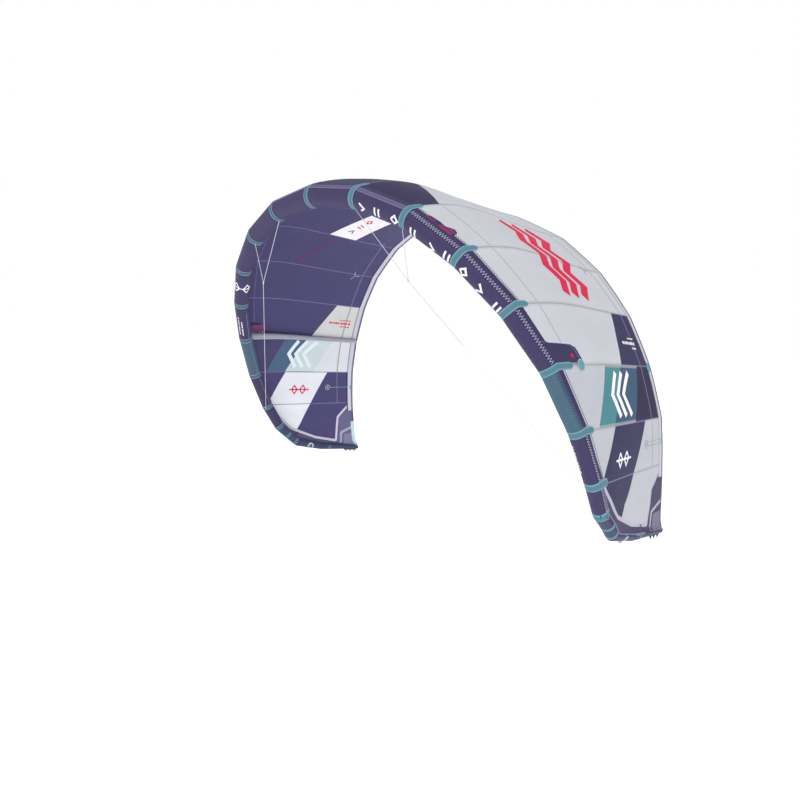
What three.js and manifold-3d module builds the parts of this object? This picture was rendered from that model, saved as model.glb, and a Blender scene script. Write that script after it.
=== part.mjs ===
// A kitesurfing kite with an inflated leading edge, three inflated struts and a canopy of sewn panels,
// in the attitude in which it flies.
// Millimetres. X runs across the span, Y from the leading edge to the trailing edge, and Z is up.
// The origin is midway between the front ends of the two side struts.
import * as THREE from 'three';
import { mergeVertices } from 'three/addons/utils/BufferGeometryUtils.js';
import Module from 'manifold-3d';

// One row for each seam of the right wing, from the middle of the kite to the wing tip.
// le: the axis of the leading edge tube. tube: its diameter. te: the trailing edge of the canopy.
// nose and tail: how steeply the canopy rises from its front and from its back edge, in degrees over the chord.
const STATIONS = [
  { le: [0, -464, 1050], tube: 155, te: [0, 1136, 1182], nose: 17, tail: 4.5 },
  { le: [462, -450, 996], tube: 147, te: [490, 1153, 1112], nose: 16, tail: 4.5 },
  { le: [876, -392, 844], tube: 140, te: [916, 1189, 919], nose: 14, tail: 4 },
  { le: [1225, -296, 609], tube: 133, te: [1243, 1229, 653], nose: 13, tail: 4.3 },
  { le: [1495, -160, 322], tube: 126, te: [1477, 1275, 346], nose: 9, tail: 5.2 },
  { le: [1683, 0, 0], tube: 119, te: [1640, 1319, 0], nose: 6.3, tail: 5.8 }, // side strut
  { le: [1791, 171, -354], tube: 111, te: [1740, 1361, -350], nose: 0, tail: 4 },
  { le: [1823, 346, -682], tube: 104, te: [1763, 1395, -686], nose: -3, tail: 2 }, // last rib
  { le: [1812, 484, -892], tube: 98, te: [1766, 1415, -835], nose: -5, tail: 2 },
  { le: [1808, 586, -977], tube: 94, te: [1766, 1430, -940], nose: -5, tail: 2 },
  { le: [1790, 698, -1073], tube: 86, te: [1764, 1446, -1050], nose: -5, tail: 2 },
  { le: [1776, 990, -1143], tube: 68, te: [1762, 1462, -1120], nose: -5, tail: 2 },
  { le: [1758, 1480, -1196], tube: 42, te: [1759, 1496, -1163], nose: -5, tail: 2 }, // tip
];
const SIDE_STRUT = 5;
const TEAL_SEGMENT = 5;
const LAST_RIB = 7;
const TIP_START = 8;
const TIP = STATIONS.length - 1;

// Gaps between neighbouring pieces.
const GAP = 0.3;
const PANEL_SEAM_GAP = 0.8;
// How far to each side of a strut the tube is taken into account when the strut's front is shaped to it.
const STRUT_FRONT_REACH = 150;

// The leading edge tube's cross-section, and the rounded closure of its tip.
const TUBE_SIDES = 16;
const TIP_CLOSURE = 14;
const TIP_CLOSURE_SIZE = 0.55;

// The canopy leaves the tube where the tube's surface runs its way. At the end of the bent tip it leaves lower
// down, at this angle, counted from the direction of the trailing edge over the top.
const LEAVE_ANGLE_TIP = 50;
const CLOTH = 2;
// The rib's curve: the reach of its handle at the nose and at the tail, as shares of the chord.
const NOSE_REACH = 0.324;
const TAIL_REACH = 0.62;
const CHORD_STEPS = 12;
const SPAN_STEPS = 2;

// Seam bands, by the corners of the tube's section that they cover, counted from the trailing edge side over the top.
const BAND_WIDTH = 44;
const BAND_CLOTH = 1;
const BAND_OFFSET = 0.5;
const BAND_FIRST = 5;
const BAND_LAST = 15;
const BAND_LAST_AT_STRUT = 14;

// Struts: the diameters at the front, a quarter of the way back and at the end, and their stretch along the rib.
const STRUTS = [
  { name: 'strut_center', station: 0, front: 84, middle: 72, end: 44 },
  { name: 'strut', station: SIDE_STRUT, front: 66, middle: 58, end: 38 },
];
const STRUT_SIDES = 12;
const STRUT_MIDDLE = 0.3;
const STRUT_FROM = 0.02;
const STRUT_TO = 0.985;
const STRUT_CLEAR = 0.6;

// The bridle: where its legs meet, the knot and the cord.
const BRIDLE_KNOT = new THREE.Vector3(839, -339, 477);
const BRIDLE_KNOT_SIZE = 9;
const BRIDLE_CORD = 4;
const BRIDLE_SIDES = 8;
// The station of each leg's end, and how far in degrees it sits round the tube from the side that faces the knot,
// towards the front.
const BRIDLE_LEGS = [
  { station: 1, turn: 15 },
  { station: 2, turn: 25 },
  { station: LAST_RIB, turn: 55 },
];

// Line tabs at the wing tip: webbing folded flat.
// station and at: the seam before the tab, and its place as a share of the way to the next one.
const FRONT_TAB = { station: 10, at: 0.5, length: 46, width: 25, thick: 4 };
const REAR_TAB = { station: 11, at: 0.81, length: 170, width: 14, thick: 4 };

const COLORS = {
  dark: 0x433b68,
  light: 0xcfd1d8,
  teal: 0x4a9a9e,
  strut: 0xb9bac6,
  cord: 0xe8e8ee,
  white: 0xf2f2f4,
  black: 0x1c1b22,
};

const wasm = await Module();
wasm.setup();

const vector = (row) => new THREE.Vector3(...row);
const le = STATIONS.map((row) => vector(row.le));
const te = STATIONS.map((row) => vector(row.te));
const radius = STATIONS.map((row) => row.tube / 2);

// Directions of the tube's straight stretches, each named by its inner station.
const stretch = le.slice(1).map((point, i) => point.clone().sub(le[i]).normalize());

function mirrored(point) {
  return new THREE.Vector3(-point.x, point.y, point.z);
}

// The tube's own frame at a station: along the tube, towards the trailing edge, and outward.
// At the middle of the kite the tube runs level across the centre plane.
function tubeFrame(i) {
  const before = i === 0 ? mirrored(stretch[0]).negate() : stretch[i - 1];
  const after = i === TIP ? stretch[TIP - 1] : stretch[i];
  const along = before.clone().add(after).normalize();
  const bend = after.clone().sub(before);
  const halfKink = bend.length() / 2;
  const aft = te[i].clone().sub(le[i]);
  aft.addScaledVector(along, -aft.dot(along)).normalize();
  const out = new THREE.Vector3().crossVectors(along, aft);
  return { along, aft, out, bend: bend.normalize(), grow: 1 / Math.sqrt(1 - halfKink * halfKink) };
}

const frames = STATIONS.map((row, i) => tubeFrame(i));

// A corner of the tube's section in the plane that halves the bend at a station.
function corner(i, angle, r = radius[i]) {
  const { aft, out, bend, grow } = frames[i];
  const arm = aft.clone().multiplyScalar(Math.cos(angle) * r).addScaledVector(out, Math.sin(angle) * r);
  arm.addScaledVector(bend, arm.dot(bend) * (grow - 1));
  return le[i].clone().add(arm);
}

function tubeRing(i) {
  const step = (2 * Math.PI) / TUBE_SIDES;
  return Array.from({ length: TUBE_SIDES }, (unused, n) => corner(i, n * step));
}

const rings = STATIONS.map((row, i) => tubeRing(i));

function moved(ring, direction, distance) {
  return ring.map((point) => point.clone().addScaledVector(direction, distance));
}

// A closed body through rings of points with equal counts. Point n of a ring faces point (count - 1 - n),
// so each end is closed with a strip across it.
function loft(sections) {
  const count = sections[0].length;
  const positions = sections.flat().flatMap((point) => [point.x, point.y, point.z]);
  const index = [];
  const quad = (a, b, c, d) => index.push(a, b, c, a, c, d);
  for (let s = 0; s < sections.length - 1; s += 1) {
    for (let n = 0; n < count; n += 1) {
      const next = (n + 1) % count;
      quad(s * count + n, (s + 1) * count + n, (s + 1) * count + next, s * count + next);
    }
  }
  const last = (sections.length - 1) * count;
  for (let n = 0; n < count / 2 - 1; n += 1) {
    const across = count - 1 - n;
    quad(n, n + 1, across - 1, across);
    quad(last + n, last + across, last + across - 1, last + n + 1);
  }
  const geometry = new THREE.BufferGeometry();
  geometry.setAttribute('position', new THREE.Float32BufferAttribute(positions, 3));
  geometry.setIndex(index);
  return facingOut(geometry);
}

// Turns every triangle over if the body's volume comes out negative.
function facingOut(geometry) {
  if (signedVolume(geometry) < 0) {
    flip(geometry);
  }
  return geometry;
}

function signedVolume(geometry) {
  const position = geometry.getAttribute('position');
  const index = geometry.getIndex().array;
  const at = (n) => new THREE.Vector3().fromBufferAttribute(position, index[n]);
  let volume = 0;
  for (let n = 0; n < index.length; n += 3) {
    volume += at(n).dot(at(n + 1).cross(at(n + 2))) / 6;
  }
  return volume;
}

function flip(geometry) {
  const index = geometry.getIndex().array;
  for (let n = 0; n < index.length; n += 3) {
    [index[n], index[n + 1]] = [index[n + 1], index[n]];
  }
}

function toSolid(geometry) {
  const bare = geometry.clone();
  bare.deleteAttribute('normal');
  bare.deleteAttribute('uv');
  const merged = mergeVertices(bare);
  const vertProperties = new Float32Array(merged.getAttribute('position').array);
  const triVerts = new Uint32Array(merged.getIndex().array);
  return new wasm.Manifold(new wasm.Mesh({ numProp: 3, vertProperties, triVerts }));
}

function fromSolid(solid) {
  const mesh = solid.getMesh();
  const geometry = new THREE.BufferGeometry();
  geometry.setAttribute('position', new THREE.Float32BufferAttribute(mesh.vertProperties, 3));
  geometry.setIndex(Array.from(mesh.triVerts));
  return geometry;
}

function tubeSegment(i) {
  return loft([moved(rings[i], stretch[i], GAP / 2), moved(rings[i + 1], stretch[i], -GAP / 2)]);
}

// The tip section bends at each small band and ends in a rounded closure.
function tubeTip() {
  const sections = [moved(rings[TIP_START], stretch[TIP_START], GAP / 2)];
  sections.push(...rings.slice(TIP_START + 1, TIP + 1));
  const closure = rings[TIP].map((point) => point.clone().sub(le[TIP]).multiplyScalar(TIP_CLOSURE_SIZE).add(le[TIP]));
  sections.push(moved(closure, stretch[TIP - 1], TIP_CLOSURE));
  return loft(sections);
}

function leaveAngle(i) {
  const share = Math.max(0, (i - TIP_START) / (TIP - TIP_START));
  return THREE.MathUtils.degToRad(THREE.MathUtils.lerp(90 + STATIONS[i].nose, LEAVE_ANGLE_TIP, share));
}

// The middle surface of the canopy along a rib, as a cubic curve from the tube to the trailing edge.
function ribCurve(i) {
  const chord = te[i].clone().sub(le[i]);
  const length = chord.length();
  chord.divideScalar(length);
  const inner = i === 0 ? mirrored(te[1]) : te[i - 1];
  const outer = te[Math.min(i + 1, TIP)];
  const span = outer.clone().sub(inner).normalize().add(frames[i].along);
  const up = new THREE.Vector3().crossVectors(span, chord).normalize();
  if (i > LAST_RIB) {
    up.copy(frames[i].out);
    up.addScaledVector(chord, -up.dot(chord)).normalize();
  }
  const rise = THREE.MathUtils.degToRad(STATIONS[i].nose);
  const fall = THREE.MathUtils.degToRad(STATIONS[i].tail);
  const start = corner(i, leaveAngle(i), radius[i] + CLOTH / 2 + GAP * 2);
  const nose = start.clone();
  nose.addScaledVector(chord, Math.cos(rise) * NOSE_REACH * length);
  nose.addScaledVector(up, Math.sin(rise) * NOSE_REACH * length);
  const tail = te[i].clone();
  tail.addScaledVector(chord, -Math.cos(fall) * TAIL_REACH * length);
  tail.addScaledVector(up, Math.sin(fall) * TAIL_REACH * length);
  return new THREE.CubicBezierCurve3(start, nose, tail, te[i].clone());
}

const ribs = STATIONS.map((row, i) => ribCurve(i));

// Points on both faces of the panel between two stations. The faces lie half the cloth's thickness to each side.
function panelSections(inner, outer) {
  const sections = [];
  for (let s = 0; s <= SPAN_STEPS; s += 1) {
    const upper = [];
    const lower = [];
    for (let n = 0; n <= CHORD_STEPS; n += 1) {
      const t = n / CHORD_STEPS;
      const a = inner.getPoint(t);
      const b = outer.getPoint(t);
      const across = b.clone().sub(a);
      const inset = PANEL_SEAM_GAP / 2 / across.length();
      const share = THREE.MathUtils.lerp(inset, 1 - inset, s / SPAN_STEPS);
      const along = inner.getTangent(t).lerp(outer.getTangent(t), share);
      const normal = new THREE.Vector3().crossVectors(across, along).normalize();
      const middle = a.addScaledVector(across, share);
      upper.push(middle.clone().addScaledVector(normal, CLOTH / 2));
      lower.unshift(middle.clone().addScaledVector(normal, -CLOTH / 2));
    }
    sections.push([...upper, ...lower]);
  }
  return sections;
}

function panel(i) {
  return loft(panelSections(ribs[i], ribs[i + 1]));
}

// The tip panel fans out from the last rib along the bent end of the tube.
function tipPanel() {
  const sections = panelSections(ribs[LAST_RIB], ribs[LAST_RIB + 1]).slice(0, -1);
  for (let i = LAST_RIB + 1; i < TIP; i += 1) {
    const around = panelSections(ribs[i], ribs[i + 1]);
    sections.push(around[0]);
  }
  const end = panelSections(ribs[TIP - 1], ribs[TIP]);
  sections.push(...end.slice(1));
  return loft(sections);
}

// One section of a band: its outer corners, then its inner corners back again.
function bandSection(ring, center, last) {
  const covered = ring.slice(BAND_FIRST, last + 1);
  const away = (point, distance) => {
    const arm = point.clone().sub(center);
    return center.clone().add(arm.setLength(arm.length() + distance));
  };
  const outer = covered.map((point) => away(point, BAND_OFFSET + BAND_CLOTH));
  const inner = covered.map((point) => away(point, BAND_OFFSET)).reverse();
  return [...outer, ...inner];
}

function between(i, distance, direction) {
  const neighbour = i + direction;
  const mirror = neighbour < 0;
  const ring = mirror ? rings[1].map(mirrored) : rings[neighbour];
  const axis = mirror ? mirrored(le[1]) : le[neighbour];
  const share = distance / axis.distanceTo(le[i]);
  return {
    ring: rings[i].map((point, n) => point.clone().lerp(ring[n], share)),
    center: le[i].clone().lerp(axis, share),
  };
}

function band(i) {
  const last = i === 0 || i === SIDE_STRUT ? BAND_LAST_AT_STRUT : BAND_LAST;
  const inner = between(i, BAND_WIDTH / 2, -1);
  const outer = between(i, BAND_WIDTH / 2, 1);
  return loft([
    bandSection(inner.ring, inner.center, last),
    bandSection(rings[i], le[i], last),
    bandSection(outer.ring, outer.center, last),
  ]);
}

// A strut lies under the seam of its rib, with its front shaped to the tube. The panels meet at an angle
// over it, so the round strut sits a little lower than under one flat sheet.
function strut({ station, front, middle, end }) {
  const curve = ribs[station];
  const inner = station === 0 ? (t) => mirrored(ribs[1].getPoint(t)) : (t) => ribs[station - 1].getPoint(t);
  const sections = [];
  for (let n = 0; n <= CHORD_STEPS; n += 1) {
    const t = THREE.MathUtils.clamp(n / CHORD_STEPS, STRUT_FROM, STRUT_TO);
    const point = curve.getPoint(t);
    const along = curve.getTangent(t);
    const before = squareTo(along, point.clone().sub(inner(t)));
    const after = squareTo(along, ribs[station + 1].getPoint(t).sub(point));
    const side = before.clone().add(after).normalize();
    const up = new THREE.Vector3().crossVectors(side, along);
    const r = strutDiameter(t, front, middle, end) / 2;
    const drop = (r + CLOTH / 2 + STRUT_CLEAR) / Math.cos(before.angleTo(after) / 2);
    sections.push(circle(point.addScaledVector(up, -drop), side, up, r, STRUT_SIDES));
  }
  return fromSolid(toSolid(loft(sections)).subtract(fatTube(station)));
}

function squareTo(axis, direction) {
  return direction.addScaledVector(axis, -direction.dot(axis)).normalize();
}

function strutDiameter(t, front, middle, end) {
  if (t < STRUT_MIDDLE) {
    return THREE.MathUtils.lerp(front, middle, t / STRUT_MIDDLE);
  }
  return THREE.MathUtils.lerp(middle, end, (t - STRUT_MIDDLE) / (1 - STRUT_MIDDLE));
}

function circle(center, side, up, r, sides) {
  return Array.from({ length: sides }, (unused, n) => {
    const angle = ((n + 0.5) * 2 * Math.PI) / sides;
    return center
      .clone()
      .addScaledVector(side, Math.sin(angle) * r)
      .addScaledVector(up, Math.cos(angle) * r);
  });
}

// The tube round a station, a little fatter than it is, to cut its neighbours with.
function fatTube(i) {
  const fat = ({ ring, center }) =>
    ring.map((point) => {
      const arm = point.clone().sub(center);
      return center.clone().add(arm.setLength(arm.length() + GAP * 2));
    });
  return toSolid(
    loft([
      fat(between(i, STRUT_FRONT_REACH, -1)),
      fat({ ring: rings[i], center: le[i] }),
      fat(between(i, STRUT_FRONT_REACH, 1)),
    ])
  );
}

function cordLeg(from, to) {
  const section = new THREE.Shape();
  section.absarc(0, 0, BRIDLE_CORD / 2, 0, 2 * Math.PI);
  const geometry = new THREE.ExtrudeGeometry(section, {
    steps: 1,
    curveSegments: BRIDLE_SIDES,
    extrudePath: new THREE.LineCurve3(from, to),
  });
  return toSolid(geometry);
}

// The bridle's legs end on the bands.
function bridle() {
  const knot = new THREE.SphereGeometry(BRIDLE_KNOT_SIZE / 2, BRIDLE_SIDES, BRIDLE_SIDES / 2);
  knot.translate(BRIDLE_KNOT.x, BRIDLE_KNOT.y, BRIDLE_KNOT.z);
  let solid = toSolid(knot);
  for (const { station, turn } of BRIDLE_LEGS) {
    solid = solid.add(cordLeg(BRIDLE_KNOT, bridleEnd(station, turn)));
  }
  return fromSolid(solid);
}

function bridleEnd(i, turn) {
  const { along } = frames[i];
  const arm = BRIDLE_KNOT.clone().sub(le[i]);
  arm.addScaledVector(along, -arm.dot(along));
  arm.applyAxisAngle(along, THREE.MathUtils.degToRad(-turn));
  return le[i].clone().add(arm.setLength(radius[i] + BAND_OFFSET + BAND_CLOTH + BRIDLE_CORD / 2 + GAP));
}

// A flat tab on the underside of the tip, its foot along the tube and its faces looking in and out.
function tab({ station, at, length, width, thick }) {
  const under = TUBE_SIDES / 2;
  const from = rings[station][under];
  const to = rings[station + 1][under];
  const along = to.clone().sub(from).normalize();
  const down = squareTo(along, frames[station + 1].aft.clone().negate());
  const face = new THREE.Vector3().crossVectors(down, along);
  const center = from.clone().lerp(to, at).addScaledVector(down, GAP + width / 2);
  const geometry = new THREE.BoxGeometry(length, thick, width);
  geometry.applyMatrix4(new THREE.Matrix4().makeBasis(along, face, down));
  geometry.translate(center.x, center.y, center.z);
  return geometry;
}

const kite = new THREE.Group();

function add(name, geometry, color, roughness = 0.6) {
  const material = new THREE.MeshStandardMaterial({ color, roughness, metalness: 0, flatShading: true });
  const mesh = new THREE.Mesh(geometry, material);
  mesh.name = name;
  kite.add(mesh);
}

// A piece of the right wing and its mirror image on the left wing.
function addPair(name, geometry, right, left = right) {
  add(`${name}_right`, geometry, right);
  const other = geometry.clone().applyMatrix4(new THREE.Matrix4().makeScale(-1, 1, 1));
  if (!other.getIndex()) {
    other.setIndex(Array.from({ length: other.getAttribute('position').count }, (unused, n) => n));
  }
  flip(other);
  add(`${name}_left`, other, left);
}

for (let i = 0; i < TIP_START; i += 1) {
  addPair(`leading_edge_${i + 1}`, tubeSegment(i), i === TEAL_SEGMENT ? COLORS.teal : COLORS.dark);
}
addPair('leading_edge_tip', tubeTip(), COLORS.dark);

for (let i = 0; i < LAST_RIB; i += 1) {
  addPair(`canopy_${i + 1}`, panel(i), COLORS.light, COLORS.dark);
}
addPair('canopy_tip', tipPanel(), COLORS.light, COLORS.dark);

add('band_center', band(0), COLORS.teal);
for (let i = 1; i <= TIP_START; i += 1) {
  addPair(`band_${i}`, band(i), COLORS.teal);
}

const [centerStrut, sideStrut] = STRUTS;
add(centerStrut.name, strut(centerStrut), COLORS.strut);
addPair(sideStrut.name, strut(sideStrut), COLORS.strut);

addPair('bridle', bridle(), COLORS.cord);
addPair('front_line_tab', tab(FRONT_TAB), COLORS.white);
addPair('rear_line_tab', tab(REAR_TAB), COLORS.black);

export default kite;
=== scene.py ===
"""A three-strut inflatable kite in flight: arched tube, sewn canopy, struts, seam bands and bridles."""
import math
import bmesh
import bpy
from mathutils import Matrix, Vector, noise


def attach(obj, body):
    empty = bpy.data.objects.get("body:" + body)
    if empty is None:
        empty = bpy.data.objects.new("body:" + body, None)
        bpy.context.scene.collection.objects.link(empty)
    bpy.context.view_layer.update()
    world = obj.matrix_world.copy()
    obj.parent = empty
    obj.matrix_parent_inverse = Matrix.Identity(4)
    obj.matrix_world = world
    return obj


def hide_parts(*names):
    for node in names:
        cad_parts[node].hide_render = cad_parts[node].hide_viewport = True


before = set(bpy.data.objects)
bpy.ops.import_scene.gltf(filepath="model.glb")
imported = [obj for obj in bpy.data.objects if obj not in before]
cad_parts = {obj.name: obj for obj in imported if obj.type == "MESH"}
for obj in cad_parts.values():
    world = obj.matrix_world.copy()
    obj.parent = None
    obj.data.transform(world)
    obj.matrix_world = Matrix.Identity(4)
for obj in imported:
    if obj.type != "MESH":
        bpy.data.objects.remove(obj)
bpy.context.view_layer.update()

# The stations across one wing, from the centre to the tip, in metres and degrees: the middle of the
# leading edge tube, its diameter, the point on the trailing edge, and the angles at which the canopy rises
# behind the tube and falls to the trailing edge. The other wing is the mirror image.
STATIONS = [
    ((0, -0.464, 1.050), 0.155, (0, 1.136, 1.182), 17, 4.5),
    ((0.462, -0.450, 0.996), 0.147, (0.490, 1.153, 1.112), 16, 4.5),
    ((0.876, -0.392, 0.844), 0.140, (0.916, 1.189, 0.919), 14, 4),
    ((1.225, -0.296, 0.609), 0.133, (1.243, 1.229, 0.653), 13, 4.3),
    ((1.495, -0.160, 0.322), 0.126, (1.477, 1.275, 0.346), 9, 5.2),
    ((1.683, 0, 0), 0.119, (1.640, 1.319, 0), 6.3, 5.8),
    ((1.791, 0.171, -0.354), 0.111, (1.740, 1.361, -0.350), 0, 4),
    ((1.823, 0.346, -0.682), 0.104, (1.763, 1.395, -0.686), -3, 2),
    ((1.812, 0.484, -0.892), 0.098, (1.766, 1.415, -0.835), -5, 2),
    ((1.808, 0.586, -0.977), 0.094, (1.766, 1.430, -0.940), -5, 2),
    ((1.790, 0.698, -1.073), 0.086, (1.764, 1.446, -1.050), -5, 2),
    ((1.776, 0.990, -1.143), 0.068, (1.762, 1.462, -1.120), -5, 2),
    ((1.758, 1.480, -1.196), 0.042, (1.759, 1.496, -1.163), -5, 2),
]
SIDE_STRUT = 5
LAST_RIB = 7
TIP_START = 8
TIP = len(STATIONS) - 1
SIDES = [(1, "right"), (-1, "left")]

# The canopy's curve along a rib: how far the handles of the cubic reach as shares of the chord, how far
# the cloth's middle lies off the tube, and the angle at which the cloth leaves the end of the tube.
NOSE_REACH = 0.324
TAIL_REACH = 0.62
CLOTH_OFF_TUBE = 0.0016
LEAVE_ANGLE_TIP = 50

# The cloth's thickness. Then its swelling between ribs: how far, from which panel width and share of the
# chord it is full, and the share of it that is gone at the trailing edge.
CLOTH = 0.0012
SWELL = 0.008
SWELL_WIDTH = 0.4
SWELL_CHORD = 0.2
SWELL_LOST = 0.5

# Small ripples: their height, how close they are across and along, and the share of the chord where they
# are full.
RIPPLE = 0.0012
RIPPLE_ACROSS = 4.4
RIPPLE_ALONG = 6.0
RIPPLE_CHORD = 0.05

# Small creases: the two ends of each as stations and shares of the chord, and its depth. Then their width,
# and how many stations from its middle a crease ends.
CANOPY_CREASES = [
    ((5.12, 0.12), (5.60, 0.07), 0.0035),
    ((5.08, 0.17), (5.45, 0.14), 0.0028),
    ((5.10, 0.25), (5.30, 0.27), 0.002),
    ((6.30, 0.80), (6.60, 0.84), 0.003),
    ((2.96, 0.86), (3.16, 0.95), 0.0035),
    ((2.90, 0.93), (3.35, 0.91), 0.003),
    ((-5.10, 0.16), (-5.50, 0.10), 0.002),
    ((-3.00, 0.86), (-3.15, 0.94), 0.002),
]
CANOPY_CREASE_WIDTH = 0.018
CANOPY_CREASE_NEAR = 0.6

# The camera, in metres and as directions, and its angle of view as a focal length on a 36 mm sensor.
CAMERA_PLACE = Vector((3.7809, -3.1458, 0.2240))
CAMERA_RIGHT = Vector((0.68294, 0.72864, 0.05173))
CAMERA_UP = Vector((-0.12214, 0.04408, 0.99153))
CAMERA_LENS = 29.25
CAMERA_SENSOR = 36
CAMERA_FAR = 200

# The right wing's bridle: the cord's diameter, the knot, and the ends of its legs on the seam bands. Each
# end is a seam and the degrees by which it is turned to the front from the side that faces the knot. The
# first two are those of the long line.
BRIDLE_CORD = 0.004
BRIDLE_KNOT = Vector((0.839, -0.339, 0.477))
BRIDLE_ENDS = [(LAST_RIB, 55), (1, 15), (2, 25)]
BAND_FACE = 0.0015
CAD_GAP = 0.0003

# A small step on a surface for its slopes.
PROBE = 0.01


def mirrored(point):
    return Vector((-point.x, point.y, point.z))


def on_side(point, s):
    return mirrored(point) if s < 0 else point


def square_to(axis, direction):
    return (direction - axis * direction.dot(axis)).normalized()


def clamped(share):
    return max(0.0, min(1.0, share))


le = [Vector(row[0]) for row in STATIONS]
radius = [row[1] / 2 for row in STATIONS]
te = [Vector(row[2]) for row in STATIONS]
stretch = [(b - a).normalized() for a, b in zip(le, le[1:])]
cut_length = [(b - a).length for a, b in zip(le, le[1:])]


def tube_frame(i):
    """The directions of the tube's mitred section at a station, and how much the mitre widens it."""
    before = -mirrored(stretch[0]) if i == 0 else stretch[i - 1]
    after = stretch[TIP - 1] if i == TIP else stretch[i]
    along = (before + after).normalized()
    bend = after - before
    half_kink = bend.length / 2
    aft = square_to(along, te[i] - le[i])
    out = along.cross(aft)
    return along, aft, out, bend.normalized(), 1 / math.sqrt(1 - half_kink * half_kink)


frames = [tube_frame(i) for i in range(TIP + 1)]


def corner(i, angle, lift=0.0):
    """A point of the tube's section at a station. Angle 0 looks aft, 90 degrees out and 180 forward."""
    along, aft, out, bend, grow = frames[i]
    r = radius[i] + lift
    arm = aft * (math.cos(angle) * r) + out * (math.sin(angle) * r)
    return le[i] + arm + bend * (arm.dot(bend) * (grow - 1))


def leave_angle(i):
    share = max(0.0, (i - TIP_START) / (TIP - TIP_START))
    start = 90 + STATIONS[i][3]
    return math.radians(start + (LEAVE_ANGLE_TIP - start) * share)


def rib(i):
    """The four control points of the cloth's middle line along a rib."""
    chord = te[i] - le[i]
    length = chord.length
    chord.normalize()
    inner = mirrored(te[1]) if i == 0 else te[i - 1]
    outer = te[min(i + 1, TIP)]
    span = (outer - inner).normalized() + frames[i][0]
    up = square_to(chord, frames[i][2]) if i > LAST_RIB else span.cross(chord).normalized()
    rise = math.radians(STATIONS[i][3])
    fall = math.radians(STATIONS[i][4])
    start = corner(i, leave_angle(i), CLOTH_OFF_TUBE)
    nose = start + (chord * math.cos(rise) + up * math.sin(rise)) * (NOSE_REACH * length)
    tail = te[i] + (up * math.sin(fall) - chord * math.cos(fall)) * (TAIL_REACH * length)
    return start, nose, tail, te[i]


ribs = [rib(i) for i in range(TIP + 1)]
leave_angles = [leave_angle(i) for i in range(TIP + 1)]
chords = [(te[i] - ribs[i][0]).length for i in range(TIP + 1)]


def bezier(points, t):
    a, b, c, d = points
    u = 1 - t
    return a * u**3 + b * (3 * u * u * t) + c * (3 * u * t * t) + d * t**3


def slope(points, t):
    a, b, c, d = points
    u = 1 - t
    return (b - a) * (3 * u * u) + (c - b) * (6 * u * t) + (d - c) * (3 * t * t)


def panel_of(s):
    """The station before a place across the wing, and the share of the way to the next."""
    wing = min(abs(s), TIP)
    i = min(int(wing), TIP - 1)
    return i, wing - i


def blended(values, s):
    i, share = panel_of(s)
    return values[i] + (values[i + 1] - values[i]) * share


def canopy_crease(s, t, chord):
    """How far the small creases draw the cloth in at a place."""
    depth = 0.0
    wide = cut_length[panel_of(s)[0]]
    for (s0, t0), (s1, t1), deep in CANOPY_CREASES:
        if (s > 0) == (s0 > 0) and abs(s - (s0 + s1) / 2) < CANOPY_CREASE_NEAR:
            run = Vector(((s1 - s0) * wide, (t1 - t0) * chord))
            spot = Vector(((s - s0) * wide, (t - t0) * chord))
            share = clamped(spot.dot(run) / run.length_squared)
            away = (spot - run * share).length / CANOPY_CREASE_WIDTH
            depth += deep * math.exp(-away * away) * math.sin(math.pi * (0.1 + 0.8 * share))
    return depth


def canopy_point(s, t, lift=0.0):
    """A point off the cloth's middle. s counts the stations, below 0 on the left wing; t goes aft, 0 to 1."""
    i, share = panel_of(s)
    inner = bezier(ribs[i], t)
    outer = bezier(ribs[i + 1], t)
    across = outer - inner
    along = slope(ribs[i], t).lerp(slope(ribs[i + 1], t), share)
    normal = across.cross(along).normalized()
    if i <= LAST_RIB and t > 0:
        swell = SWELL * 4 * share * (1 - share) * min(1.0, across.length / SWELL_WIDTH)
        lift += swell * min(1.0, t / SWELL_CHORD) * (1 - SWELL_LOST * t**3)
    if t > 0:
        ripple = RIPPLE * noise.noise(Vector((s * RIPPLE_ACROSS, t * RIPPLE_ALONG, 0.0)))
        lift += ripple * min(1.0, t / RIPPLE_CHORD) - canopy_crease(s, t, blended(chords, s))
    return on_side(inner.lerp(outer, share) + normal * lift, s)


# The tube is drawn in at each seam: how deep and how far. Short creases fade away from it: how deep, how
# far, how many round the tube, their shift from seam to seam and their uneven spacing.
PINCH = 0.0011
PINCH_REACH = 0.016
TUBE_CREASE = 0.0010
TUBE_CREASE_REACH = 0.045
TUBE_CREASES = 17
TUBE_CREASE_SHIFT = 2.1
TUBE_CREASE_SPREAD = 3


def seam_distance(s):
    """Metres along the tube to the nearest seam."""
    i, share = panel_of(s)
    return min(share, 1 - share) * cut_length[i]


def tube_point(s, angle, lift=0.0):
    """A point off the tube's cloth. The angle is in radians, 0 aft and a quarter turn out."""
    i, share = panel_of(s)
    away = seam_distance(s)
    near = math.exp(-((away / PINCH_REACH) ** 2))
    creased = math.exp(-away / TUBE_CREASE_REACH) * (1 - near)
    spread = TUBE_CREASE_SPREAD * math.sin(TUBE_CREASE_SPREAD * angle + i)
    wave = 0.5 + 0.5 * math.sin(TUBE_CREASES * angle + TUBE_CREASE_SHIFT * i + spread)
    lift -= PINCH * near + TUBE_CREASE * creased * wave
    return on_side(corner(i, angle, lift).lerp(corner(i + 1, angle, lift), share), s)


# The front of the canopy is sewn onto the tube as a flap. In degrees of the tube beyond the line where the
# cloth leaves it: the middle of the zigzag seam at stations, and how much further the flap goes. Then how
# far its end lies off the tube, and the radians in which what lies over its end comes down.
ZIGZAG_ANGLES = [(0, 23), (3, 23), (4.5, 20), (5.2, 17), (6.5, 9), (8, 7), (12, 5)]
FLAP_BEYOND = 15
FLAP_LIFT = 0.0010
FLAP_EDGE = 0.12


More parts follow.
